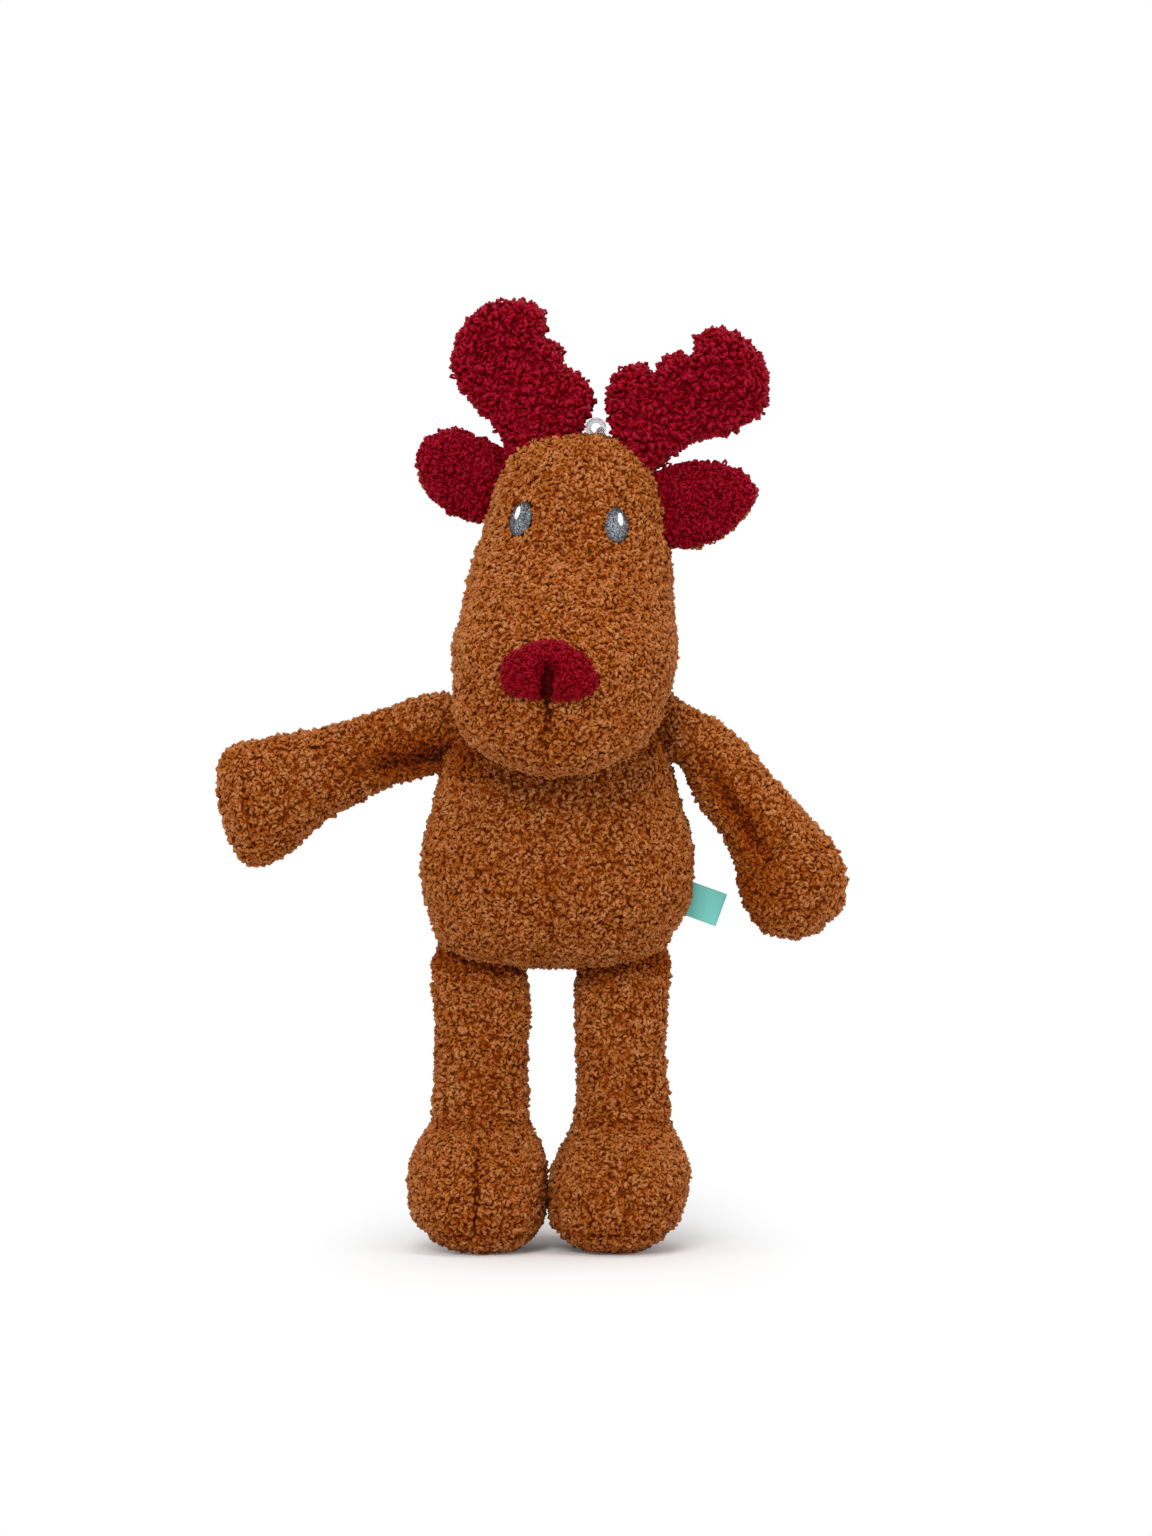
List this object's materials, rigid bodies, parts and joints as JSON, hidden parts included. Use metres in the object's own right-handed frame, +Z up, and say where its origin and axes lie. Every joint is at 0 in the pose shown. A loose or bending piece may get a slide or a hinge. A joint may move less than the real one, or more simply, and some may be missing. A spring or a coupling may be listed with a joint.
{
  "type": "plush deer",
  "caption": "Standing plush deer in curly brown pile fabric, with wine-red antlers, ears and padded nose, embroidered eyes, hanging loop and plain side ribbon.",
  "frame": {"origin": "on the floor, under the middle of the whole toy's box", "axes": "+Z up along the toy's height; the face looks along -Y, the toy's shortest way; +X is the toy's own left, along its outstretched arms"},
  "size_m": [0.2508, 0.1262, 0.3816],
  "materials": {
    "brown_pile": "short curly pile fabric, golden brown, dark between the curls",
    "wine_pile": "short curly pile fabric, wine red",
    "grey_thread": "raised embroidery in speckled silver-grey thread",
    "white_thread": "raised embroidery in white thread",
    "white_fibre": "loose white polyester filling",
    "mint_ribbon": "plain woven satin ribbon, mint",
    "clear_plastic": "clear moulded soft plastic"
  },
  "bodies": {
    "torso": {"torso_front_right_panel": "brown_pile", "torso_front_left_panel": "brown_pile", "torso_back_right_panel": "brown_pile", "torso_back_left_panel": "brown_pile", "torso_filling": "white_fibre"},
    "head": {"head_right_side_panel": "brown_pile", "head_left_side_panel": "brown_pile", "muzzle_top_panel": "brown_pile", "forehead_panel": "brown_pile", "head_back_panel": "brown_pile", "head_filling": "white_fibre", "nose_patch": "wine_pile", "right_eye": "grey_thread", "left_eye": "grey_thread", "right_eye_glint": "white_thread", "left_eye_glint": "white_thread"},
    "right_ear": {"right_ear_front": "wine_pile", "right_ear_back": "brown_pile"},
    "right_antler": {"right_antler_front": "wine_pile", "right_antler_back": "wine_pile", "right_antler_filling": "white_fibre"},
    "right_arm": {"right_arm_front_panel": "brown_pile", "right_arm_back_panel": "brown_pile", "right_arm_filling": "white_fibre"},
    "right_leg": {"right_leg_front_panel": "brown_pile", "right_leg_back_panel": "brown_pile", "right_foot_outer_panel": "brown_pile", "right_foot_inner_panel": "brown_pile", "right_sole": "brown_pile", "right_leg_filling": "white_fibre"},
    "left_ear": {"left_ear_front": "wine_pile", "left_ear_back": "brown_pile"},
    "left_antler": {"left_antler_front": "wine_pile", "left_antler_back": "wine_pile", "left_antler_filling": "white_fibre"},
    "left_arm": {"left_arm_front_panel": "brown_pile", "left_arm_back_panel": "brown_pile", "left_arm_filling": "white_fibre"},
    "left_leg": {"left_leg_front_panel": "brown_pile", "left_leg_back_panel": "brown_pile", "left_foot_outer_panel": "brown_pile", "left_foot_inner_panel": "brown_pile", "left_sole": "brown_pile", "left_leg_filling": "white_fibre"},
    "hang_loop": {"hang_loop": "clear_plastic"},
    "side_label": {"side_label": "mint_ribbon"}
  },
  "joints": [
    {"name": "neck_nod", "type": "hinge", "parent": "torso", "child": "head", "pos_m": [0.01622, 0.0184, 0.222], "axis": [0.9935, -0.0941, -0.0642], "range_deg": [-12, 14]},
    {"name": "right_shoulder", "type": "hinge", "parent": "torso", "child": "right_arm", "pos_m": [-0.03308, 0.0194, 0.2075], "axis": [0, 1, 0], "range_deg": [-36, 34]},
    {"name": "left_shoulder", "type": "hinge", "parent": "torso", "child": "left_arm", "pos_m": [0.05892, 0.0194, 0.2075], "axis": [0, -1, 0], "range_deg": [-1.5, 66]},
    {"name": "right_hip", "type": "hinge", "parent": "torso", "child": "right_leg", "pos_m": [-0.01828, 0.0194, 0.1164], "axis": [-1, 0, 0], "range_deg": [-25, 75]},
    {"name": "left_hip", "type": "hinge", "parent": "torso", "child": "left_leg", "pos_m": [0.03912, 0.0194, 0.1164], "axis": [-1, 0, 0], "range_deg": [-25, 75]},
    {"name": "right_ear_flap", "type": "hinge", "parent": "head", "child": "right_ear", "pos_m": [-0.00891, 0.02127, 0.30379], "axis": [0.3684, -0.0291, 0.9292], "range_deg": [-20, 20]},
    {"name": "left_ear_flap", "type": "hinge", "parent": "head", "child": "left_ear", "pos_m": [0.05169, 0.01553, 0.29987], "axis": [0.0917, -0.0147, -0.9957], "range_deg": [-20, 20]},
    {"name": "right_antler_flop", "type": "hinge", "parent": "head", "child": "right_antler", "pos_m": [0.00188, 0.02038, 0.32414], "axis": [0.9935, -0.0941, -0.0642], "range_deg": [-10, 10]},
    {"name": "left_antler_flop", "type": "hinge", "parent": "head", "child": "left_antler", "pos_m": [0.0436, 0.01643, 0.32144], "axis": [0.9935, -0.0941, -0.0642], "range_deg": [-10, 10]},
    {"name": "hang_loop_tilt", "type": "hinge", "parent": "head", "child": "hang_loop", "pos_m": [0.03028, 0.03078, 0.32791], "axis": [0.9935, -0.0941, -0.0642], "range_deg": [-25, 25]},
    {"name": "side_label_flap", "type": "hinge", "parent": "torso", "child": "side_label", "pos_m": [0.06771, 0.0214, 0.1435], "axis": [0.342, 0, 0.9397], "range_deg": [-50, 50]}
  ]
}
